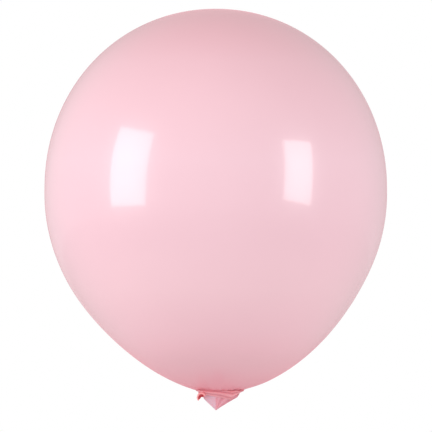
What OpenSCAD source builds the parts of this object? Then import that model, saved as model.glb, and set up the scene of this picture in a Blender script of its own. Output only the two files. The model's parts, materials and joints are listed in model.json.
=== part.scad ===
// Round latex balloon, blown up and tied. Millimetres, +Z up, the knot hangs at the bottom.
// The origin is the tie: the point on the balloon's own axis where the film meets the knot.
// The film is one skin on the real thing. Each node is a stretch of it that a person has a name for.

/* [Inflated body] */
// Diameter across the widest part of the inflated body
body_d = 127; // [90:1:160]
// Height of the widest level above the tie
widest_h = 74.5; // [55:0.5:95]
// Height of the crown above the widest level
crown_h = 66.6; // [50:0.2:85]
// How full the crown's shoulders are, where 2 is an ellipse
crown_full = 2.04; // [2:0.01:2.3]
// How far the lower half is drawn in towards the neck, as a share of its width
draw_in = 0.165; // [0:0.005:0.25]
// How far below the tie the lower half's curve would come to a point
pole_dip = 1.1; // [0.8:0.05:2]
// Wall of the film
film = 0.12; // [0.1:0.01:0.4]

/* [Neck funnel] */
// Height above the tie where the film stops following the knot
funnel_h = 5; // [4:0.1:12]
// Height of the flat seat where the film lies on the knot
seat_h = 0.3; // [0.25:0.05:0.6]

/* [Throat] */
// Width of the pinched neck
throat_w = 12; // [8:0.1:14]
// Thickness of the pinched neck
throat_t = 2; // [1.4:0.1:2.8]
// Depth of the pinch line below the tie, where the knot swings to the front and back
pinch_drop = 1.6; // [1.3:0.05:2.2]
// How far the gathered film stands up inside the balloon
gather_h = 1.4; // [0.6:0.1:3]

/* [Knot] */
// How far the knot hangs to the right of the balloon's axis
knot_shift = 1.2; // [0:0.1:3]
// Thickness of the turn of rubber that wraps round the throat
wrap_thick = 2.8; // [2.4:0.05:3.6]
// Height of the wrap in front
wrap_h = 3; // [2.6:0.1:4.5]
// Height of the wrap behind, over the tail
wrap_back_h = 1.3; // [1:0.1:1.8]
// Radius of the wrap's rounded edges
wrap_round = 0.7; // [0.3:0.05:0.9]
// How far each end of the wrap leans in from its top to its bottom
wrap_lean = 1.6; // [0:0.1:2]
// Width of the V shaped flap where it leaves the wrap
flap_w = 12.6; // [8:0.1:15]
// Length of the V shaped flap below the wrap
flap_h = 4.6; // [3:0.1:7]
// Thickness of the V shaped flap
flap_t = 2.2; // [1.2:0.1:2.5]
// Roundness of the flap's corners
flap_round = 0.5; // [0.3:0.05:0.6]

/* [Tail] */
// Width of the tail where it leaves the knot
tail_root_w = 9; // [6:0.1:12]
// Thickness of the tail where it leaves the knot
tail_root_t = 1.6; // [1:0.1:2]
// Distance from the tail's root to the middle of the rolled lip
tail_l = 4.2; // [3:0.1:7]
// Width of the neck's mouth, over the rolled lip
mouth_w = 16.3; // [12:0.1:19]
// Depth of the neck's mouth, over the rolled lip
mouth_t = 2.8; // [2.6:0.1:4]
// Diameter of the rolled lip's bead
lip_d = 1.1; // [0.7:0.05:1.4]
// Wall of the tail's unstretched film
tail_wall = 0.5; // [0.3:0.05:0.7]
// Angle by which the tail droops below level
tail_droop = 6; // [5:1:30]

/* [Clearances] */
// Gap between pieces of the knot that move against each other
knot_gap = 0.35; // [0.25:0.05:0.6]
// Gap between the throat and the film round it
slot_gap = 0.1; // [0.05:0.01:0.3]

/* [Hidden] */
$fn = 96;
body_r = body_d / 2;
body_steps = 30;
funnel_steps = 14;
hull_fn = 32;
slack = 1;
// The wrap's ring, round the throat with its gap
hole_w = throat_w + 2 * knot_gap;
hole_t = throat_t + 2 * knot_gap;
hole_run = hole_w - hole_t;
wrap_top = seat_h - knot_gap;
wrap_bottom = wrap_top - wrap_h;
wrap_back = wrap_top - wrap_back_h;
// The flap lies under the wrap's front face, and the tail under its back
flap_y = -hole_t / 2 - flap_t / 2;
tail_root_r = tail_root_t / 2;
tail_y = hole_t / 2 + knot_gap + tail_root_r;
tail_z = wrap_back - knot_gap - tail_root_r;
pale_pink = [0.96, 0.78, 0.83];
deep_pink = [0.86, 0.58, 0.63];

// Outer radius of the lower half at height z: an ellipse, drawn in more the lower it gets
function lower_r(z) =
    let (t = (widest_h - z) / (widest_h + pole_dip))
    body_r * sqrt(1 - t * t) * (1 - draw_in * t * t);

// The film's outline, from the middle of the flat seat out, up the funnel and body, and in to the crown
seat = [[0, seat_h]];
funnel = [for (i = [0 : funnel_steps])
    let (z = seat_h + (funnel_h - seat_h) * pow(i / funnel_steps, 1.5)) [lower_r(z), z]];
lower = [for (i = [1 : body_steps])
    let (z = widest_h - (widest_h - funnel_h) * cos(90 * i / body_steps)) [lower_r(z), z]];
upper = [for (i = [1 : body_steps - 1])
    let (t = sin(90 * i / body_steps))
    [body_r * pow(1 - pow(t, crown_full), 1 / crown_full), widest_h + crown_h * t]];
crown = [[0, widest_h + crown_h]];
outside = concat(seat, funnel, lower, upper, crown);
// The same outline moved in by the film's wall, square to the skin
inside = [for (i = [0 : len(outside) - 1])
    let (run = outside[min(i + 1, len(outside) - 1)] - outside[max(i - 1, 0)])
    outside[i][0] == 0 ? [0, outside[i][1] + film * sign(run[0])]
        : outside[i] + film * [-run[1], run[0]] / norm(run)];
funnel_end = funnel_steps + 1;

// The stretch of the skin between two rings of the outline, turned round the axis
module skin(from, to) {
    rotate_extrude() polygon([
        for (i = [from : to]) outside[i],
        for (i = [to : -1 : from]) inside[i]
    ]);
}

// A stadium: a slot shape with round ends, w wide and t deep
module stadium(w, t) {
    square([w - t, t], center = true);
    for (side = [-1, 1]) translate([side * (w - t) / 2, 0]) circle(d = t);
}

module envelope() {
    color(pale_pink) skin(funnel_end, len(outside) - 1);
}

module neck_funnel() {
    color(pale_pink) difference() {
        skin(0, funnel_end);
        translate([knot_shift, 0, seat_h - slack / 2]) linear_extrude(film + slack)
            stadium(throat_w + 2 * slot_gap, throat_t + 2 * slot_gap);
    }
}

// The pinch is a round fold across the knot, and the gathered film stands up from it
module throat() {
    run = throat_w - throat_t;
    color(deep_pink) translate([knot_shift, 0, -pinch_drop]) {
        rotate([0, 90, 0]) cylinder(d = throat_t, h = run, center = true);
        for (side = [-1, 1]) translate([side * run / 2, 0, 0]) sphere(d = throat_t);
        linear_extrude(pinch_drop + seat_h + gather_h) stadium(throat_w, throat_t);
    }
}

// Section of the wrap, a rectangle with round edges, standing beside the hole
module wrap_section() {
    mid = [hole_t / 2 + wrap_thick / 2, wrap_top - wrap_h / 2];
    translate(mid) {
        square([wrap_thick, wrap_h - 2 * wrap_round], center = true);
        square([wrap_thick - 2 * wrap_round, wrap_h], center = true);
        for (x = [-1, 1], z = [-1, 1])
            translate([x * (wrap_thick / 2 - wrap_round), z * (wrap_h / 2 - wrap_round)])
                circle(r = wrap_round);
    }
}

module knot_wrap() {
    behind = hole_t / 2 + wrap_thick;
    end = hole_w / 2 + wrap_thick;
    color(deep_pink) translate([knot_shift, 0, 0]) difference() {
        for (side = [-1, 1]) {
            translate([side * hole_run / 2, 0, 0]) rotate([0, 0, -side * 90])
                rotate_extrude(angle = 180) wrap_section();
            translate([side * hole_run / 2, 0, 0]) rotate([90, 0, -side * 90])
                linear_extrude(hole_run) wrap_section();
        }
        translate([-hole_w, hole_t / 2, wrap_bottom - slack])
            cube([2 * hole_w, behind, wrap_back - wrap_bottom + slack]);
        // The two leaning ends
        for (side = [-1, 1])
            rotate([90, 0, 0]) linear_extrude(2 * behind, center = true)
                polygon([[side * end, wrap_top], [side * (end - wrap_lean), wrap_bottom],
                    [side * end, wrap_bottom - slack], [side * (end + slack), wrap_top]]);
    }
}

module knot_bight() {
    tip = [knot_shift - 1, wrap_bottom - flap_h + flap_round];
    color(deep_pink) difference() {
        hull() {
            for (side = [-1, 1])
                translate([knot_shift + side * (flap_w / 2 - flap_round), flap_y, wrap_bottom])
                    rotate([90, 0, 0]) cylinder(r = flap_round, h = flap_t, center = true, $fn = hull_fn);
            translate([tip[0], flap_y, tip[1]]) rotate([90, 0, 0])
                cylinder(r = flap_round, h = flap_t / 2, center = true, $fn = hull_fn);
        }
        translate([knot_shift, flap_y, wrap_bottom + slack])
            cube([flap_w + slack, flap_t + slack, 2 * slack], center = true);
    }
}

// Puts its children at the tail's root, with +Z running out along the tail
module at_tail() {
    translate([knot_shift, tail_y, tail_z]) rotate([-(90 + tail_droop), 0, 0]) children();
}

module tail_form(w0, t0, w1, t1, z0, z1) {
    hull() {
        translate([0, 0, z0]) linear_extrude(film) stadium(w0, t0, $fn = hull_fn);
        translate([0, 0, z1 - film]) linear_extrude(film) stadium(w1, t1, $fn = hull_fn);
    }
}

module tail_skirt() {
    mouth_end = tail_l - lip_d / 2;
    color(deep_pink) at_tail() difference() {
        union() {
            rotate([0, 90, 0]) cylinder(d = tail_root_t, h = tail_root_w, center = true);
            tail_form(tail_root_w, tail_root_t, mouth_w - lip_d, mouth_t - lip_d, 0, mouth_end);
        }
        tail_form(tail_root_w / 2, film, mouth_w - lip_d - 2 * tail_wall,
            mouth_t - lip_d - 2 * tail_wall, tail_root_r, mouth_end + film);
    }
}

module rolled_lip() {
    run = mouth_w - mouth_t;
    turn_r = (mouth_t - lip_d) / 2;
    color(deep_pink) at_tail() translate([0, 0, tail_l]) for (side = [-1, 1]) {
        translate([side * run / 2, 0, 0]) rotate([0, 0, -side * 90])
            rotate_extrude(angle = 180) translate([turn_r, 0]) circle(d = lip_d);
        translate([0, side * turn_r, 0]) rotate([0, 90, 0])
            cylinder(d = lip_d, h = run, center = true);
    }
}

envelope();
neck_funnel();
throat();
knot_wrap();
knot_bight();
tail_skirt();
rolled_lip();
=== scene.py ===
# %% [markdown]
# # A tied latex balloon
#
# A small round party balloon is one dip-moulded skin of latex with air in it. Most of the skin is
# stretched thin and shines. The neck is not stretched: it is tied in a knot under the body, and there
# the same latex is thick, soft, creased and much deeper in colour.
#
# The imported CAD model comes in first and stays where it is. It gives every size and place that the
# pieces below are built from, and it holds the bodies that the pieces ride on.

# %% Load the frame
import json
import math

import bmesh
import bpy
from mathutils import Matrix, Vector, noise


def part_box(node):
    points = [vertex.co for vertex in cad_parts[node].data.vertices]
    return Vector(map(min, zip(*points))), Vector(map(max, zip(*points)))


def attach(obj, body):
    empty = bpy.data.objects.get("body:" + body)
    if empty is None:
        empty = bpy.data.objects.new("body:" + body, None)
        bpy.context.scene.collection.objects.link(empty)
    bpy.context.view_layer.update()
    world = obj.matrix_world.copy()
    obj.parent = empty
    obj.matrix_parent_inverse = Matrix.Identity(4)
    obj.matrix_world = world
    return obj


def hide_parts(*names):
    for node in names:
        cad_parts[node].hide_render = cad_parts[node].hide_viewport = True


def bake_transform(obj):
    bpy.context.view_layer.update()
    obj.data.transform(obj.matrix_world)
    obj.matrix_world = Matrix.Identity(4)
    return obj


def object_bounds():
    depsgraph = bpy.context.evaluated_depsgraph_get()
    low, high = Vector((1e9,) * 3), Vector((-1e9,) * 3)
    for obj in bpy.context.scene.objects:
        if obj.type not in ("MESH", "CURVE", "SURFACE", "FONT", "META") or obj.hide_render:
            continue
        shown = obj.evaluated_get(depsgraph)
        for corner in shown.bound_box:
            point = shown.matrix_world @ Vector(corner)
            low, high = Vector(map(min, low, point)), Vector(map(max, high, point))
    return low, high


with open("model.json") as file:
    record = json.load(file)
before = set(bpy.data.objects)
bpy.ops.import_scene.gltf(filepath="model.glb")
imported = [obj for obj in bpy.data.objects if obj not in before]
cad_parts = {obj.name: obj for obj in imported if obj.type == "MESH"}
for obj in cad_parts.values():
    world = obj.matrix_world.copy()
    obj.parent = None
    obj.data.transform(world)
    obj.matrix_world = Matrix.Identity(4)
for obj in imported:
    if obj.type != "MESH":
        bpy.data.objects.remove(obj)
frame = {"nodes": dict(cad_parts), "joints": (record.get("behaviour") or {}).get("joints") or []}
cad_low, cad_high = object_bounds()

MM = 0.001
print("CAD box in mm:", [round(x / MM, 1) for x in (*cad_low, *cad_high)])

# %% [markdown]
# The sizes that the looks need are read from the CAD nodes. The body is an egg shape, so its widest
# level isn't half way up: it is found as the envelope's vertex that is furthest from the axis.

# %% Measure the CAD nodes
envelope_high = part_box("envelope")[1]
funnel_low, funnel_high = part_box("neck_funnel")
throat_low, throat_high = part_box("throat")
wrap_low, wrap_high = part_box("knot_wrap")
flap_low, flap_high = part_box("knot_bight")
lip_low, lip_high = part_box("rolled_lip")

BODY_R = envelope_high.x
CROWN_Z = envelope_high.z
WIDEST_Z = max(frame["nodes"]["envelope"].data.vertices, key=lambda v: v.co.xy.length).co.z
KNOT_X = (wrap_low.x + wrap_high.x) / 2
print("body radius", round(BODY_R / MM, 1), "widest at", round(WIDEST_Z / MM, 1),
      "knot at x", round(KNOT_X / MM, 2))

# %% [markdown]
# Three helpers serve the whole script. `srgb` turns a hex colour into the linear numbers that Cycles
# works in. `add` puts one node in a material with its settings and links.
# `piece` turns a finished bmesh into an object whose place is in its mesh.

# %% Helpers
def srgb(hex_colour, alpha=1.0):
    """The linear colour of an sRGB hex colour."""
    channels = [int(hex_colour[i:i + 2], 16) / 255 for i in (1, 3, 5)]
    return (*[c / 12.92 if c <= 0.04045 else ((c + 0.055) / 1.055) ** 2.4 for c in channels], alpha)


def add(tree, kind, settings=None, **links):
    """A new node. Settings are attributes or socket values, and links are socket name = output socket."""
    made = tree.nodes.new(kind)
    for name, value in (settings or {}).items():
        if name in made.inputs:
            made.inputs[name].default_value = value
        else:
            setattr(made, name, value)
    for name, source in links.items():
        tree.links.new(source, made.inputs[name.replace("_", " ")])
    return made


def piece(name, bm, material, smooth=True):
    """A new object from a bmesh, with its normals turned outwards."""
    bmesh.ops.remove_doubles(bm, verts=bm.verts, dist=0.002 * MM)
    bmesh.ops.recalc_face_normals(bm, faces=bm.faces)
    mesh = bpy.data.meshes.new(name)
    bm.to_mesh(mesh)
    bm.free()
    for face in mesh.polygons:
        face.use_smooth = smooth
    made = bpy.data.objects.new(name, mesh)
    bpy.context.scene.collection.objects.link(made)
    made.data.materials.append(material)
    return made


def subdivide(obj, levels):
    """A Subdivision Surface that is the same in the viewport and in the render."""
    made = obj.modifiers.new("Subdivision", "SUBSURF")
    made.levels = made.render_levels = levels
    return obj


def ease(x):
    """0 below 0, 1 above 1, and a smooth S between them."""
    x = min(max(x, 0.0), 1.0)
    return x * x * (3 - 2 * x)


# %% [markdown]
# The camera stands level with the balloon, a little under its middle, and a long way off with a long
# lens, so that the body shows its true outline. The frame takes in the balloon with a narrow white
# margin. Its width at the balloon sets the lens, which is easier to think about than an angle.

# %% Camera
CAMERA_DISTANCE = 1.6
FRAME_WIDTH = 160.2 * MM
CAMERA_X = 0.1 * MM
UNDER_MIDDLE = 2.425 * MM
camera_data = bpy.data.cameras.new("camera")
camera_data.sensor_width = 36
camera_data.lens = camera_data.sensor_width * CAMERA_DISTANCE / FRAME_WIDTH
camera = bpy.data.objects.new("camera", camera_data)
camera.location = (CAMERA_X, -CAMERA_DISTANCE, (cad_low.z + cad_high.z) / 2 - UNDER_MIDDLE)
camera.rotation_euler = (math.radians(90), 0, 0)
bpy.context.scene.collection.objects.link(camera)
bpy.context.scene.camera = camera
bpy.context.scene.view_settings.view_transform = "Standard"
print("lens", round(camera_data.lens, 1), "mm")

# %% [markdown]
# A product studio for shiny round things is a white room with two tall softboxes. The room gives the
# even light. It is a touch brighter at the left, and has one darker corner at the upper right and
# back, which gives the body its soft turn from light to shade. What the camera sees directly of the
# room is pure white. A plain world colour would be simpler, but it would leave the ball looking flat.

# %% Room light
world = bpy.data.worlds.new("white_room")
bpy.context.scene.world = world
world.use_nodes = True
room = world.node_tree
room.nodes.clear()
ROOM_SIDES, ROOM_ABOVE, ROOM_BELOW = 0.765, 0.81, 0.82
ROOM_LEAN = (-0.05, 0.03, 0.0)
DARK_CORNER = Vector((0.25, 0.55, 0.8)).normalized()
CORNER_SHADE = 0.74
direction = add(room, "ShaderNodeTexCoord").outputs["Generated"]
height = add(room, "ShaderNodeSeparateXYZ", Vector=direction).outputs["Z"]
level = add(room, "ShaderNodeMapRange", {"From Min": -1.0, "From Max": 1.0}, Value=height)
levels = add(room, "ShaderNodeValToRGB", Fac=level.outputs["Result"])
levels.color_ramp.interpolation = "EASE"
stops = levels.color_ramp.elements
stops[0].color = (ROOM_BELOW, ROOM_BELOW, ROOM_BELOW, 1)
stops[1].color = (ROOM_ABOVE, ROOM_ABOVE, ROOM_ABOVE, 1)
middle = stops.new(0.5)
middle.color = (ROOM_SIDES, ROOM_SIDES, ROOM_SIDES, 1)
lean = add(room, "ShaderNodeVectorMath", {"operation": "DOT_PRODUCT"})
room.links.new(direction, lean.inputs[0])
lean.inputs[1].default_value = ROOM_LEAN
corner = add(room, "ShaderNodeVectorMath", {"operation": "DOT_PRODUCT"})
room.links.new(direction, corner.inputs[0])
corner.inputs[1].default_value = DARK_CORNER
shade = add(room, "ShaderNodeMapRange",
            {"From Min": 0.3, "From Max": 1.0, "To Min": 1.0, "To Max": CORNER_SHADE,
             "interpolation_type": "SMOOTHSTEP"}, Value=corner.outputs["Value"])
strength = add(room, "ShaderNodeMath", {"operation": "ADD"})
room.links.new(lean.outputs["Value"], strength.inputs[0])
room.links.new(shade.outputs["Result"], strength.inputs[1])
lighting = add(room, "ShaderNodeBackground", Color=levels.outputs["Color"], Strength=strength.outputs[0])
backdrop = add(room, "ShaderNodeBackground", {"Color": (1, 1, 1, 1)})
seen = add(room, "ShaderNodeLightPath").outputs["Is Camera Ray"]
mix = room.nodes.new("ShaderNodeMixShader")
room.links.new(seen, mix.inputs[0])
room.links.new(lighting.outputs[0], mix.inputs[1])
room.links.new(backdrop.outputs[0], mix.inputs[2])
out = room.nodes.new("ShaderNodeOutputWorld")
room.links.new(mix.outputs[0], out.inputs["Surface"])
print("white room: sides, above, below", ROOM_SIDES, ROOM_ABOVE, ROOM_BELOW)

# %% [markdown]
# Each softbox shows in the latex as a tall bright window, bent by the ball. Its place, size and roll
# are given as it looks from the balloon, in degrees, and its power follows from the brightness of its
# face. The left one is bigger, and the right one leans a little.

# %% Softboxes
def softbox(name, azimuth, elevation, wide, high, radiance, roll=0.0, distance=0.7):
    """A softbox that faces the balloon. Azimuth 0 is at the camera, and angles are in degrees."""
    a, e = math.radians(azimuth), math.radians(elevation)
    towards = Vector((math.sin(a) * math.cos(e), -math.cos(a) * math.cos(e), math.sin(e)))
    data = bpy.data.lights.new(name, "AREA")
    data.shape = "RECTANGLE"
    data.size = 2 * distance * math.tan(math.radians(wide / 2))
    data.size_y = 2 * distance * math.tan(math.radians(high / 2))
    data.energy = radiance * math.pi * data.size * data.size_y
    made = bpy.data.objects.new(name, data)
    turn = towards.to_track_quat("Z", "Y") @ Matrix.Rotation(math.radians(roll), 4, "Z").to_quaternion()
    made.matrix_world = Matrix.LocRotScale(Vector((0, 0, WIDEST_Z)) + distance * towards, turn, None)
    bpy.context.scene.collection.objects.link(made)
    return made


softbox("softbox_left", azimuth=-58.5, elevation=11.3, wide=26.5, high=36, radiance=3.8)
softbox("softbox_right", azimuth=55.5, elevation=9.3, wide=20, high=28.5, radiance=4.1, roll=-8)
print("softboxes:", [lamp.name for lamp in bpy.data.lights])


# %% [markdown]
# Balloon latex is natural rubber with pigment, dipped on a former. Where it is stretched it is thin and
# pale, and its surface is nearly as smooth as glass. It is thicker, so deeper in colour, at the crown
# and round the neck, where the film is not stretched so far. So the depth of colour follows the height
# on the body. The refractive index of latex is 1.52. To the eye this is glossy pink latex: a soft satin
# base, a clear gloss over it that mirrors the softboxes, and a warm velvety edge from mould powder.

# %% Stretched latex film
def latex_film():
    """Natural rubber, dip-moulded and stretched: pale, glossy, a little cloudy."""
    made = bpy.data.materials.new("stretched_latex_film")
    made.use_nodes = True
    tree = made.node_tree
    shader = tree.nodes["Principled BSDF"]
    shader.inputs["IOR"].default_value = 1.52
    shader.inputs["Coat Roughness"].default_value = 0.09
    # A trace of mould powder on the skin glows warm where the body turns away
    shader.inputs["Sheen Weight"].default_value = 0.5
    shader.inputs["Sheen Roughness"].default_value = 0.3
    shader.inputs["Sheen Tint"].default_value = srgb("#ff7890")
    place = add(tree, "ShaderNodeTexCoord").outputs["Object"]
    z = add(tree, "ShaderNodeSeparateXYZ", Vector=place).outputs["Z"]
    # The clear gloss comes with the stretch, and is all there 30 mm above the knot
    gloss = add(tree, "ShaderNodeMapRange",
                {"From Min": 0.0, "From Max": 30 * MM, "To Min": 0.15, "To Max": 0.9}, Value=z)
    tree.links.new(gloss.outputs["Result"], shader.inputs["Coat Weight"])
    share = add(tree, "ShaderNodeMapRange", {"From Min": 0.0, "From Max": CROWN_Z}, Value=z)
    depth = add(tree, "ShaderNodeValToRGB", Fac=share.outputs["Result"])
    stops = depth.color_ramp.elements
    stops[0].position, stops[0].color = 0.0, srgb("#eda3af")
    stops[1].position, stops[1].color = 1.0, srgb("#efb0ba")
    for position, colour in ((0.05, "#f0b1bd"), (0.16, "#f3c0cb"), (0.27, "#f5c7d1"), (0.4, "#f4c7d2"),
                             (0.6, "#f6cbd6"), (0.85, "#f4c2cc")):
        stops.new(position).color = srgb(colour)
    # The dipped film varies in clouds of about 25 mm
    clouds = add(tree, "ShaderNodeTexNoise", {"Scale": 1 / (25 * MM), "Detail": 3.0, "Roughness": 0.5},
                 Vector=place)
    fade = add(tree, "ShaderNodeMapRange", {"To Min": 0.985, "To Max": 1.015}, Value=clouds.outputs["Fac"])
    tinted = add(tree, "ShaderNodeVectorMath", {"operation": "SCALE"}, Vector=depth.outputs["Color"],
                 Scale=fade.outputs["Result"])
    tree.links.new(tinted.outputs["Vector"], shader.inputs["Base Color"])
    # Bloom, the dull dust of the mould powder, in patches of about 6 mm
    bloom = add(tree, "ShaderNodeTexNoise", {"Scale": 1 / (6 * MM), "Detail": 5.0}, Vector=place)
    rough = add(tree, "ShaderNodeMapRange", {"To Min": 0.26, "To Max": 0.34}, Value=bloom.outputs["Fac"])
    satin = add(tree, "ShaderNodeMapRange",
                {"From Min": 0.0, "From Max": 22 * MM, "To Min": 0.3, "To Max": 0.0}, Value=z)
    both = add(tree, "ShaderNodeMath", {"operation": "ADD"})
    tree.links.new(rough.outputs["Result"], both.inputs[0])
    tree.links.new(satin.outputs["Result"], both.inputs[1])
    tree.links.new(both.outputs[0], shader.inputs["Roughness"])
    # The stretched skin has an orange peel of about 1.5 mm, only a few micrometres high
    peel = add(tree, "ShaderNodeTexNoise", {"Scale": 1 / (1.5 * MM), "Detail": 2.0}, Vector=place)
    bump = add(tree, "ShaderNodeBump", {"Strength": 0.1, "Distance": 0.01 * MM}, Height=peel.outputs["Fac"])
    tree.links.new(bump.outputs["Normal"], shader.inputs["Normal"])
    return made


film_latex = latex_film()
print("material:", film_latex.name)


# %% [markdown]
# The neck's latex has gone back to its full thickness, several times that of the body. It is a deep
# salmon pink and satin, with fine wrinkles where it is squeezed, and it lets a little red light through.
# The turn, the pinched neck, the loop, the tail and its bead carry a "ridge" value that says where their
# creases and crests are. The colour follows it: painted shade deepens the very creases that are modelled,
# and a painted highlight lightens the crests. On the loop the top of the scale is the pale colour of its
# flat facet instead. Noise alone would put dark patches in the wrong places.

# %% Relaxed latex
def relaxed_latex(name, groove_shade, plain, crest_highlight_and_facet, rough=(0.3, 0.42), wrinkle_mm=0.5):
    """Unstretched natural rubber: deep colour, satin, painted shade in creases, painted highlight on crests."""
    made = bpy.data.materials.new(name)
    made.use_nodes = True
    tree = made.node_tree
    shader = tree.nodes["Principled BSDF"]
    shader.inputs["IOR"].default_value = 1.52
    shader.inputs["Subsurface Weight"].default_value = 0.3
    shader.inputs["Subsurface Radius"].default_value = (1.0, 0.35, 0.35)
    shader.inputs["Subsurface Scale"].default_value = 0.6 * MM
    place = add(tree, "ShaderNodeTexCoord").outputs["Object"]
    # Patches of about 3 mm, where the squeezed film is a bit thicker or thinner
    patches = add(tree, "ShaderNodeTexNoise", {"Scale": 1 / (3 * MM), "Detail": 4.0}, Vector=place)
    patch = add(tree, "ShaderNodeMapRange", {"To Min": -0.5, "To Max": 0.5}, Value=patches.outputs["Fac"])
    ridge = add(tree, "ShaderNodeAttribute", {"attribute_name": "ridge"})
    depth = add(tree, "ShaderNodeMath", {"operation": "ADD"})
    tree.links.new(patch.outputs["Result"], depth.inputs[0])
    tree.links.new(ridge.outputs["Fac"], depth.inputs[1])
    share = add(tree, "ShaderNodeMapRange", {"From Min": -1.0, "From Max": 1.0}, Value=depth.outputs[0])
    colour = add(tree, "ShaderNodeValToRGB", Fac=share.outputs["Result"])
    stops = colour.color_ramp.elements
    stops[0].color, stops[1].color = srgb(groove_shade), srgb(crest_highlight_and_facet)
    stops.new(0.5).color = srgb(plain)
    tree.links.new(colour.outputs["Color"], shader.inputs["Base Color"])
    gloss = add(tree, "ShaderNodeMapRange", {"To Min": rough[0], "To Max": rough[1]},
                Value=patches.outputs["Fac"])
    tree.links.new(gloss.outputs["Result"], shader.inputs["Roughness"])
    wrinkles = add(tree, "ShaderNodeTexNoise", {"Scale": 1 / (wrinkle_mm * MM), "Detail": 2.0},
                   Vector=place)
    bump = add(tree, "ShaderNodeBump", {"Strength": 0.2, "Distance": 0.03 * MM},
               Height=wrinkles.outputs["Fac"])
    tree.links.new(bump.outputs["Normal"], shader.inputs["Normal"])
    return made


# The turn is satin salmon pink, with painted shade in its creases and painted highlights on its strands
wrap_latex = relaxed_latex("relaxed_latex_turn", "#d07d8a", "#e3969f", "#f2adb4")
# The loop is satin too, with a pale mauve facet where it is pulled flat, and painted shade in its creases
flap_latex = relaxed_latex("relaxed_latex_loop", "#d58694", "#e8a0ad", "#e4b7c6")
# The bead is smoother, and shines more than the turn does
bead_latex = relaxed_latex("relaxed_latex_bead", "#dd828c", "#e9a0a8", "#f2b4ba", rough=(0.22, 0.3))
# The hood's bright coral is a painted glow, for the light that comes through its thin edge
hood_glow_latex = relaxed_latex("relaxed_latex_hood_glow", "#fa9a9e", "#ffa9ac", "#ffbcbc", rough=(0.22, 0.3))
# A hollow in latex is painted deep red: painted shade, where only light through the film reaches it
hollow_shade_latex = relaxed_latex("relaxed_latex_hollow_shade", "#c83444", "#d84452", "#e05864")
print("relaxed latex:", [m.name for m in bpy.data.materials if m.name.startswith("relaxed")])


# %% [markdown]
# The skin of the body is a lathe job: one outline, spun round the axis. The upper half is a full,
# slightly squared ellipse. The lower half is an ellipse that is drawn in more the nearer it gets to the
# knot. The outline ends inside the knot, where the film is gathered, so the skin is closed at both
# ends. A spin is chosen over a scaled ball because a ball can't have this drawn-in shoulder.

# %% The film's outline
# How far the lower half is drawn in, where its curve would end, how square the crown's shoulders are,
# and how much fuller the lower half is than its ellipse
DRAW_IN = 0.165
POLE_DIP = 1.1 * MM
CROWN_FULL = 2.04
FULLER = 0.011
SEAT_Z = funnel_low.z
# Radius and height, in mm, of the rings of film that are tucked into the knot
TUCKED = ((0, -0.9), (2.2, -0.88), (4.4, -0.75), (6.4, -0.5), (8.2, -0.25), (9.5, -0.02))


def lower_radius(z):
    """Radius of the lower half at height z."""
    t = (WIDEST_Z - z) / (WIDEST_Z + POLE_DIP)
    return BODY_R * math.sqrt(1 - t * t) * (1 - DRAW_IN * t * t) * (1 + FULLER * math.sin(math.pi * t))


def film_outline(lower_rings=56, upper_rings=40):
    """Points of the outline from the gathered end inside the knot up to the crown."""
    tucked = [Vector((r * MM, 0, z * MM)) for r, z in TUCKED]
    drop = WIDEST_Z - SEAT_Z
    heights = [WIDEST_Z - drop * math.cos(math.radians(90 * i / lower_rings)) ** 0.92
               for i in range(lower_rings + 1)]
    heights[0] = SEAT_Z
    lower = [Vector((lower_radius(z), 0, z)) for z in heights]
    upper = []
    for i in range(1, upper_rings + 1):
        a = math.radians(90 * i / upper_rings)
        t = math.sin(a)
        r = BODY_R * max(0.0, 1 - t ** CROWN_FULL) ** (1 / CROWN_FULL)
        upper.append(Vector((r, 0, WIDEST_Z + (CROWN_Z - WIDEST_Z) * t)))
    upper[-1].x = 0
    return tucked + lower + upper


def spun(points, steps, angle=360):
    """A bmesh of the points turned round the Z axis."""
    bm = bmesh.new()
    verts = [bm.verts.new(p) for p in points]
    edges = [bm.edges.new(pair) for pair in zip(verts, verts[1:])]
    bmesh.ops.spin(bm, geom=verts + edges, cent=(0, 0, 0), axis=(0, 0, 1), dvec=(0, 0, 0),
                   angle=math.radians(angle), steps=steps, use_merge=angle == 360, use_duplicate=False)
    return bm


skin = spun(film_outline(), 160)
print("spun skin:", len(skin.verts), "vertices")

# %% [markdown]
# Near the knot the round skin has to become as flat as the squeezed neck, which is wide and thin. The
# rings are narrowed from front to back there, and the spare film goes into radial pleats that die out
# up the shoulder. The lower body also leans a little to where the knot hangs. Sines with unlike counts
# are added, so that no two pleats are alike. A cloth simulation would not give pleats this fine.

# %% Gather the skin at the knot
# How far up the flattening, the pleats and the lean reach, and how far the film leans to the right
GATHER_H = 20 * MM
PLEAT_H = 6.5 * MM
LEAN_H = 38 * MM
LEAN = 1.6 * MM
NECK_FLAT = 0.42


def gather(co):
    """Where a point of the spun skin ends up."""
    squeeze = 1 - (1 - NECK_FLAT) * (1 - ease((co.z + 0.5 * MM) / GATHER_H)) ** 2.2
    angle = math.atan2(co.y, co.x)
    radius = co.xy.length
    pleat = max(0.0, 1 - max(co.z, 0) / PLEAT_H) ** 1.5 * min(1, radius / (6 * MM))
    folds = math.sin(17 * angle + 1.3) + 0.6 * math.sin(29 * angle + 0.4) + 0.5 * math.sin(11 * angle)
    out = 1 + 0.016 * pleat * folds
    lift = 0.1 * MM * pleat * math.sin(23 * angle + 2.0)
    lean = LEAN * (1 - ease((co.z - 3 * MM) / LEAN_H)) * (0.75 + 0.25 * ease(co.z / (2.5 * MM)))
    return Vector((co.x * out + lean, co.y * squeeze * out, co.z + lift))


for v in skin.verts:
    v.co = gather(v.co)
film_skin = subdivide(piece("film_skin", skin, film_latex), 1)
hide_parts("envelope", "neck_funnel")
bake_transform(film_skin)
print("film skin:", len(film_skin.data.polygons), "faces before subdivision")

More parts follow.
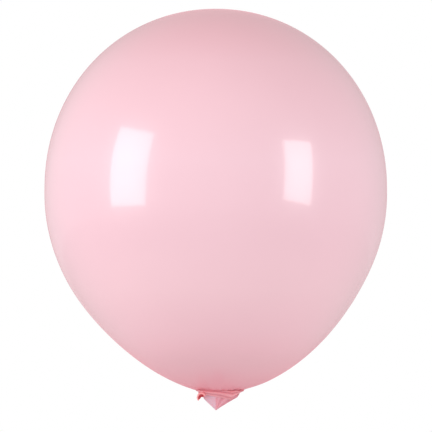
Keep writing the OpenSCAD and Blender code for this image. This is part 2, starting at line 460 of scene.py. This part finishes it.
# %% [markdown]
# The turn of the knot is the neck itself, squeezed to a band and wound once round the throat. It goes
# round in a slot shape, because the gathered throat inside it is wide and thin. The squeezed film lies
# in strands that climb slowly round the band, like the lay of a rope. A section is spun into a ring and
# the ring is laid along the slot shape, which is two straight runs joined by two half circles.

# %% Slot shaped path
def on_slot(co, ring_r, half_run, turn_r):
    """Lays a ring of radius ring_r, spun round Z, along a slot shape. Returns the point, the point of
    the slot's own line beside it, and its share of the way round."""
    share = (math.atan2(co.y, co.x) / math.tau) % 1
    side = co.xy.length - ring_r
    quarter = math.pi / 2 * turn_r
    way = share * (4 * half_run + 4 * quarter)
    if way < quarter or way > 3 * quarter + 4 * half_run:
        angle = (way if way < quarter else way - 4 * half_run) / turn_r
        centre = Vector((half_run, 0, co.z))
    elif way < quarter + 2 * half_run:
        angle = math.pi / 2
        centre = Vector((half_run - (way - quarter), 0, co.z))
    elif way < 3 * quarter + 2 * half_run:
        angle = (way - 2 * half_run) / turn_r
        centre = Vector((-half_run, 0, co.z))
    else:
        angle = -math.pi / 2
        centre = Vector((-half_run + (way - 3 * quarter - 2 * half_run), 0, co.z))
    out = Vector((math.cos(angle), math.sin(angle), 0))
    return centre + (turn_r + side) * out, centre + turn_r * out, share


def ring(ring_r, wide, high, steps, around=32):
    """A closed ring round Z whose section is an ellipse."""
    bm = bmesh.new()
    bmesh.ops.create_circle(bm, segments=around, radius=0.5)
    bmesh.ops.scale(bm, verts=bm.verts, vec=(wide, high, 1))
    bmesh.ops.rotate(bm, verts=bm.verts, cent=(0, 0, 0), matrix=Matrix.Rotation(math.pi / 2, 3, "X"))
    bmesh.ops.translate(bm, verts=bm.verts, vec=(ring_r, 0, 0))
    bmesh.ops.spin(bm, geom=bm.verts[:] + bm.edges[:], cent=(0, 0, 0), axis=(0, 0, 1), dvec=(0, 0, 0),
                   angle=math.tau, steps=steps, use_merge=True, use_duplicate=False)
    return bm


# %% [markdown]
# The turn is a wedge in front, taller to the right, and only a thin strap behind, where the tail leaves
# the knot. The strands are pressed into the ring's section before it is laid. A rope of separate
# strands would be wrong, because this is one film with creases.

# %% Turn of the knot
KNOT_GAP = 0.35 * MM
WRAP_WIDE = wrap_high.y - (throat_high.y + KNOT_GAP)
WRAP_TURN_R = wrap_high.y - WRAP_WIDE / 2
WRAP_HALF_RUN = (wrap_high.x - wrap_low.x) / 2 - wrap_high.y
WRAP_HIGH = wrap_high.z - wrap_low.z
STRANDS, WINDS = 6, 2
STRAND_PHASE = 2.4
LEAN_IN = 0.08
END_X = 9.8 * MM
STRAP_H = 1.3 * MM


def band_height(mid):
    """Height of the turn: a wedge in front, taller to the right, thin behind, and thin at both ends."""
    front = 2.3 * MM + 0.15 * min(max(mid.x + 5 * MM, 0), 12 * MM)
    high = front + (STRAP_H - front) * ease((mid.y + 1.0 * MM) / (3.7 * MM))
    reach = abs(mid.x) + WRAP_WIDE / 2 * max(0.0, (abs(mid.x) - WRAP_HALF_RUN) / WRAP_TURN_R)
    return max(0.9 * MM, min(high, (END_X - reach) / 1.28))


def wrap_place(co, ridge_layer, vert):
    """Presses the strands into the ring, then lays it along the slot and gives the band its wedge."""
    side = co.xy.length - WRAP_TURN_R
    round_angle = math.atan2(co.z / WRAP_HIGH, side / WRAP_WIDE)
    share = (math.atan2(co.y, co.x) / math.tau) % 1
    wander = 0.35 * math.sin(math.tau * 2 * share + 0.8) + 0.2 * math.sin(math.tau * 5 * share)
    phase = STRANDS * round_angle + math.tau * WINDS * share + wander + STRAND_PHASE
    crown = abs(math.cos(phase / 2))
    press = 0.8 + 0.2 * crown ** 0.5
    press += 0.03 * noise.noise(Vector((40 * share, round_angle * 1.5, 3.1)))
    out = Vector((co.x, co.y, 0)).normalized() * (WRAP_TURN_R + side * press)
    spot, mid, _ = on_slot(out, WRAP_TURN_R, WRAP_HALF_RUN, WRAP_TURN_R)
    down = (0.5 - co.z * press / WRAP_HIGH) * band_height(mid)
    down += 0.02 * max(0.0, mid.x + 4 * MM) * (1 - ease((mid.y + 2 * MM) / (3 * MM)))
    spot.z = wrap_high.z + 0.12 * MM - down
    widen = 0.09 if mid.x > 0 else 0.0
    lean_in = LEAN_IN * down / MM * ease(abs(mid.x) / (8 * MM))
    spot.x += mid.x * (widen * ease(abs(mid.x) / (6 * MM)) - lean_in)
    # Painted light: strand crests take the highlight colour, the grooves between them painted shade
    vert[ridge_layer] = 1.5 * crown ** 0.8 - 0.9
    return spot + Vector((KNOT_X, 0, 0))


wrap = ring(WRAP_TURN_R, WRAP_WIDE, WRAP_HIGH, steps=200, around=72)
ridge = wrap.verts.layers.float.new("ridge")
for v in wrap.verts:
    v.co = wrap_place(v.co, ridge, v)
wrap_turn = piece("wrap_turn", wrap, wrap_latex)
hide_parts("knot_wrap")
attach(wrap_turn, "knot")
print("wrap turn:", len(wrap_turn.data.polygons), "faces, wall", round(WRAP_WIDE / MM, 2), "mm")

# %% [markdown]
# Inside the turn the neck is pinched flat. It is a bunch of pleats that runs from the balloon down to
# the fold under the knot. Almost none of it shows, but it is what the turn grips. It is spun as a soft
# column, flattened, and pleated lengthways.

# %% Pinched neck
throat_mid = (throat_low + throat_high) / 2
throat_size = throat_high - throat_low
column = [Vector((r, 0, z)) for r, z in ((0, -0.5), (0.3, -0.49), (0.44, -0.44), (0.48, -0.36), (0.485, -0.1),
                                         (0.485, 0.1), (0.46, 0.4), (0.4, 0.48), (0.2, 0.5), (0, 0.5))]
pinch = spun(column, 96)
pleat_layer = pinch.verts.layers.float.new("ridge")
for v in pinch.verts:
    angle = math.atan2(v.co.y, v.co.x)
    fold = math.cos(17 * angle + 0.5 * math.sin(3 * angle))
    # Painted shade in the pleats' folds and a painted highlight on their crests
    v[pleat_layer] = 0.7 * fold
    out = 1 + 0.03 * fold
    v.co = throat_mid + Vector((v.co.x * out * throat_size.x, v.co.y * out * throat_size.y,
                                v.co.z * throat_size.z))
neck_pinch = subdivide(piece("neck_pinch", pinch, wrap_latex), 1)
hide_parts("throat")
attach(neck_pinch, "neck")
print("neck pinch:", len(neck_pinch.data.polygons), "faces")

# %% [markdown]
# Under the turn hangs the loop of the knot, pulled flat into a V. It is the neck folded double, so it
# is a flat bag whose left side is one smooth facet and whose right side is a fan of creases that run to
# the point. An ellipse is extruded down ring by ring and narrowed, which keeps one closed skin. A flat
# card would show its thin edge from the side, where the real loop is round.

# %% V shaped loop
FLAP_TIP_X = 0.1 * MM
FACET_EDGE_X = 0.2 * MM


def flap_edges(down):
    """Left and right edge of the V at a share of the way down."""
    left = max(FLAP_TIP_X + 1.16 * (flap_low.x - FLAP_TIP_X) * (1 - down), flap_low.x + 0.7 * MM)
    right = min(FLAP_TIP_X + 1.28 * (flap_high.x - FLAP_TIP_X) * (1 - down) ** 1.12, flap_high.x + 0.7 * MM)
    return left, right


FLAP_TOP = flap_high.z + 1.1 * MM
FLAP_Y = (flap_low.y + flap_high.y) / 2
FLAP_T = flap_high.y - flap_low.y
loop = bmesh.new()
bmesh.ops.create_circle(loop, segments=96, radius=1.0, cap_ends=True)
down_layer = loop.verts.layers.float.new("down")
lowest = loop.faces[:]
FLAP_RINGS = 26
for i in range(1, FLAP_RINGS + 1):
    made = bmesh.ops.extrude_face_region(loop, geom=lowest)
    if i > 1:
        bmesh.ops.delete(loop, geom=lowest, context="FACES_ONLY")
    lowest = [g for g in made["geom"] if isinstance(g, bmesh.types.BMFace)]
    for g in made["geom"]:
        if isinstance(g, bmesh.types.BMVert):
            g[down_layer] = i / FLAP_RINGS
flap_ridge = loop.verts.layers.float.new("ridge")
for v in loop.verts:
    down = v[down_layer]
    left, right = flap_edges(min(1.0, down * 0.985))
    across, depth = v.co.x, v.co.y
    spot_x = (left + right) / 2 + across * (right - left) / 2
    thick = FLAP_T / 2 * (1 - 0.45 * down) * max(0.15, math.sqrt(1 - down ** 6))
    y = depth * thick
    if depth < 0:
        if spot_x < FACET_EDGE_X:
            v[flap_ridge] = ease((FACET_EDGE_X - spot_x) / (0.5 * MM))
        else:
            fan = (spot_x - FACET_EDGE_X) / max(right - FACET_EDGE_X, 0.2 * MM)
            crease = math.cos(15 * fan + 1.5 * math.sin(4 * fan) + 1.2 * down)
            y += 0.16 * MM * crease * (1 - down) ** 0.5 * min(1, 4 * fan, -3 * depth)
            y += 0.22 * MM * (1 - down) * min(1, 5 * fan, -3 * depth)
            # Painted shade in the hollows of the crease fan, and a painted highlight on its crests
            v[flap_ridge] = -0.25 - 0.5 * crease
    else:
        crease = math.cos(8 * across + 2 * down)
        y -= 0.1 * MM * crease * (1 - down) * min(1, 3 * depth)
        # The back's creases get painted shade and a painted highlight too
        v[flap_ridge] = -0.3 * crease
    v.co = Vector((spot_x, FLAP_Y + y, FLAP_TOP - (FLAP_TOP - flap_low.z) * down))
v_loop = subdivide(piece("v_loop", loop, flap_latex), 1)
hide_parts("knot_bight")
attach(v_loop, "knot")
print("V loop:", len(v_loop.data.polygons), "faces")

# %% [markdown]
# At the left end of the knot a corner of film stands away from the turn as a small hood. Its edge is a
# rolled bead. Hood and bead are painted bright coral, a painted glow for the light that comes through
# them, and under the bead is a hollow painted dark red as its shade. A curved line is spun a bit more
# than half round to make the hood, and a wall is given to it afterwards, with the painted dark red on its
# inside. A solid lump would have no dark mouth.

# %% Hood at the knot's left end
HOOD_X, HOOD_Z = -5.35 * MM, -3.25 * MM
HOOD_FRONT = -4.9 * MM
HOOD_START, HOOD_TURN = -8, 212
HOOD_R = 1.45 * MM
# Radius and depth, in mm, of the hood's line from its edge to its closed end
HOOD_LINE = ((1.35, 0.0), (1.5, 0.25), (1.6, 0.8), (1.62, 1.6), (1.5, 2.4), (1.1, 3.0), (0.5, 3.3), (0.1, 3.35))


def half_round(points, angle, steps, tilt):
    """A line of points, in the plane of X and Y, turned over the top round the Y axis."""
    bm = bmesh.new()
    verts = [bm.verts.new(p) for p in points]
    edges = [bm.edges.new(pair) for pair in zip(verts, verts[1:])]
    bmesh.ops.rotate(bm, verts=bm.verts, cent=(0, 0, 0),
                     matrix=Matrix.Rotation(math.radians(tilt), 3, "Y"))
    bmesh.ops.spin(bm, geom=bm.verts[:] + bm.edges[:], cent=(0, 0, 0), axis=(0, -1, 0), dvec=(0, 0, 0),
                   angle=math.radians(angle), steps=steps, use_merge=False, use_duplicate=False)
    return bm


def to_hood(co):
    """Stretches the half round shape upright and leans it over to the right."""
    tall = 1.12 if co.z > 0 else 0.8
    return Vector((HOOD_X + co.x - 0.18 * co.z, co.y, HOOD_Z + co.z * tall + 0.25 * (co.x + 1.5 * MM)))


hood = half_round([Vector((r * MM, HOOD_FRONT + y * MM, 0)) for r, y in HOOD_LINE],
                  angle=HOOD_TURN, steps=28, tilt=HOOD_START)
for v in hood.verts:
    v.co = to_hood(v.co)
knot_hood = piece("knot_hood", hood, hood_glow_latex)
# The inside of the wall is painted dark red, as the shade in the hood's hollow
knot_hood.data.materials.append(hollow_shade_latex)
wall = knot_hood.modifiers.new("Wall", "SOLIDIFY")
wall.thickness, wall.offset, wall.material_offset = 0.4 * MM, -1, 1
subdivide(knot_hood, 2)
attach(knot_hood, "knot")
print("hood:", len(knot_hood.data.polygons), "faces")

# %% [markdown]
# The hood's edge is rolled into a bead, fat at its right end and thin at its left. It is a circle, spun
# round the same way as the hood, closed at both ends, and then thinned along its way.

# %% Bead of the hood
bead = bmesh.new()
bmesh.ops.create_circle(bead, segments=16, radius=0.4 * MM)
bmesh.ops.translate(bead, verts=bead.verts, vec=(HOOD_R, HOOD_FRONT, 0))
bmesh.ops.rotate(bead, verts=bead.verts, cent=(0, 0, 0),
                 matrix=Matrix.Rotation(math.radians(HOOD_START), 3, "Y"))
bmesh.ops.spin(bead, geom=bead.verts[:] + bead.edges[:], cent=(0, 0, 0), axis=(0, -1, 0), dvec=(0, 0, 0),
               angle=math.radians(HOOD_TURN), steps=32, use_merge=False, use_duplicate=False)
bmesh.ops.holes_fill(bead, edges=[e for e in bead.edges if e.is_boundary], sides=0)
for v in bead.verts:
    way = Vector((v.co.x, 0, v.co.z)).normalized()
    middle_line = HOOD_R * way + Vector((0, HOOD_FRONT, 0))
    turned = (math.degrees(math.atan2(way.z, way.x)) - HOOD_START) % 360 / HOOD_TURN
    v.co = to_hood(middle_line.lerp(v.co, 1 - 0.5 * ease(turned)))
hood_bead = subdivide(piece("hood_bead", bead, hood_glow_latex), 1)
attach(hood_bead, "knot")
print("hood bead:", len(hood_bead.data.polygons), "faces")

# %% [markdown]
# Behind the knot the end of the neck comes out as a short flat tube with an open mouth. Its film was
# never stretched, so it is the thickest and keeps its shape. The mouth is not quite flat: its corners
# turn up and its edge waves. The tail is made in a place of its own, with Z along it, and then turned
# to where it points, which keeps the sums simple.

# %% Tail's own place
TAIL_ROOT = Vector(next(j for j in frame["joints"] if j["name"] == "tail_flap")["pos_m"])
lip_mid = (lip_low + lip_high) / 2
TAIL_RUN = lip_mid - TAIL_ROOT
TAIL_LONG = TAIL_RUN.length
MOUTH_HALF = (lip_high.x - lip_low.x) / 2 - 0.3 * MM
BEAD_R = 0.55 * MM
CORNER_UP = 1.9 * MM
TURN_DOWN = math.atan2(TAIL_RUN.y, TAIL_RUN.z)
print("tail runs", round(TAIL_LONG / MM, 2), "mm, turned", round(math.degrees(TURN_DOWN), 1), "degrees")


def mouth_wave(x, along):
    """How far the tail's edge waves up and out at x, more the nearer it is to the mouth."""
    far = x / MOUTH_HALF
    up = CORNER_UP * abs(far) ** 2.2 + 0.22 * MM * math.sin(5.5 * far + 0.8)
    out = 0.35 * MM * math.sin(4 * far + 1.0) - 0.9 * MM * far * far
    return up * along ** 1.6, out * along ** 1.6


def to_tail(co):
    """From the tail's own place to the balloon's. The own place has X across, Y up and Z along."""
    up, out = mouth_wave(co.x, max(0.0, co.z / TAIL_LONG))
    local = Vector((co.x, -(co.y + up), co.z + out))
    return TAIL_ROOT + Matrix.Rotation(-TURN_DOWN, 3, "X") @ local


# %% [markdown]
# The tube is extruded ring by ring from its root, hidden in the loop, to its mouth. Its pleats are deep
# at the root and gone at the mouth. The wall comes from a Solidify, so the mouth is really open.

# %% Tail
tail = bmesh.new()
bmesh.ops.create_circle(tail, segments=128, radius=1.0)
ring_edges = tail.edges[:]
along_layer = tail.verts.layers.float.new("along")
TAIL_RINGS = 18
ROOT_IN = 4.2 * MM
ROOT_HALF = 4.4 * MM
for i in range(1, TAIL_RINGS + 1):
    made = bmesh.ops.extrude_edge_only(tail, edges=ring_edges)
    ring_edges = [g for g in made["geom"] if isinstance(g, bmesh.types.BMEdge) and
                  all(v in made["geom"] for v in g.verts)]
    for g in made["geom"]:
        if isinstance(g, bmesh.types.BMVert):
            g[along_layer] = i / TAIL_RINGS
ridge = tail.verts.layers.float.new("ridge")
for v in tail.verts:
    along = v[along_layer]
    z = along * (TAIL_LONG + ROOT_IN) - ROOT_IN
    half = ROOT_HALF + (MOUTH_HALF - BEAD_R - ROOT_HALF) * ease(z / TAIL_LONG) ** 1.1
    pleat = math.cos(15 * v.co.x + 2 * math.sin(3 * v.co.x)) * (1 - along) ** 0.6
    thick = 0.75 * MM + 0.1 * MM * pleat
    x = v.co.x * half
    y = math.copysign(abs(v.co.y) ** 0.6, v.co.y) * thick
    # Painted shade in the pleats' folds and a painted highlight on their crests
    v[ridge] = 0.6 * pleat - 0.1
    v.co = to_tail(Vector((x, y, z)))
tail_tube = piece("tail_tube", tail, wrap_latex)
# The inside of the wall is painted dark red, as the shade in the tube's hollow
tail_tube.data.materials.append(hollow_shade_latex)
wall = tail_tube.modifiers.new("Wall", "SOLIDIFY")
wall.thickness, wall.offset, wall.material_offset = 0.45 * MM, -1, 1
subdivide(tail_tube, 1)
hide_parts("tail_skirt")
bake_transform(tail_tube)
print("tail tube:", len(tail_tube.data.polygons), "faces")

# %% [markdown]
# The mouth ends in a bead: the film rolled up on itself, 1.1 mm thick. It is what keeps the edge from
# tearing. A round section is spun to a ring, laid along the mouth's slot shape and waved with it. The
# bead swells and thins a little, as a bead that is rolled by brushes does.

# %% Rolled bead
LIP_HALF_T = 0.85 * MM
lip = ring(LIP_HALF_T, 2 * BEAD_R, 2 * BEAD_R, steps=220, around=20)
ridge = lip.verts.layers.float.new("ridge")
for v in lip.verts:
    spot, _, share = on_slot(v.co, LIP_HALF_T, MOUTH_HALF - LIP_HALF_T - BEAD_R, LIP_HALF_T)
    swell = 1 + 0.06 * math.sin(math.tau * 31 * share) * math.sin(math.tau * 4 * share + 1)
    # Swollen parts of the bead get a painted highlight, and thin parts painted shade
    v[ridge] = 4 * (swell - 1)
    v.co = to_tail(Vector((spot.x, spot.y * swell, spot.z * swell + TAIL_LONG)))
lip_bead = subdivide(piece("lip_bead", lip, bead_latex), 1)
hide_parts("rolled_lip")
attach(lip_bead, "tail")
print("lip bead:", len(lip_bead.data.polygons), "faces")

# %% [markdown]
# The floor is a plain pale disc. It lies well under the balloon, out of the main view, and shows in
# the views from above. It is there for its light: it lifts the underside of the body.

# %% Floor
FLOOR_DROP = 350 * MM
floor_mesh = bmesh.new()
bmesh.ops.create_circle(floor_mesh, segments=96, radius=2.0, cap_ends=True)
bmesh.ops.translate(floor_mesh, verts=floor_mesh.verts, vec=(0, 0, flap_low.z - FLOOR_DROP))
# Matt white paint, a little uneven, so that it throws soft light up and mirrors nothing
floor_paint = bpy.data.materials.new("matt_white_studio_floor")
floor_paint.use_nodes = True
floor_shader = floor_paint.node_tree.nodes["Principled BSDF"]
floor_shader.inputs["Roughness"].default_value = 0.9
speckle = add(floor_paint.node_tree, "ShaderNodeTexNoise", {"Scale": 1 / (40 * MM), "Detail": 3.0},
              Vector=add(floor_paint.node_tree, "ShaderNodeTexCoord").outputs["Object"])
tone = add(floor_paint.node_tree, "ShaderNodeValToRGB", Fac=speckle.outputs["Fac"])
tone.color_ramp.elements[0].color = srgb("#f5f4f3")
tone.color_ramp.elements[1].color = srgb("#fbfaf9")
floor_paint.node_tree.links.new(tone.outputs["Color"], floor_shader.inputs["Base Color"])
piece("studio_floor", floor_mesh, floor_paint, smooth=False)

# %% [markdown]
# Last, the view layer is brought up to date.

# %% Finish
bpy.context.view_layer.update()
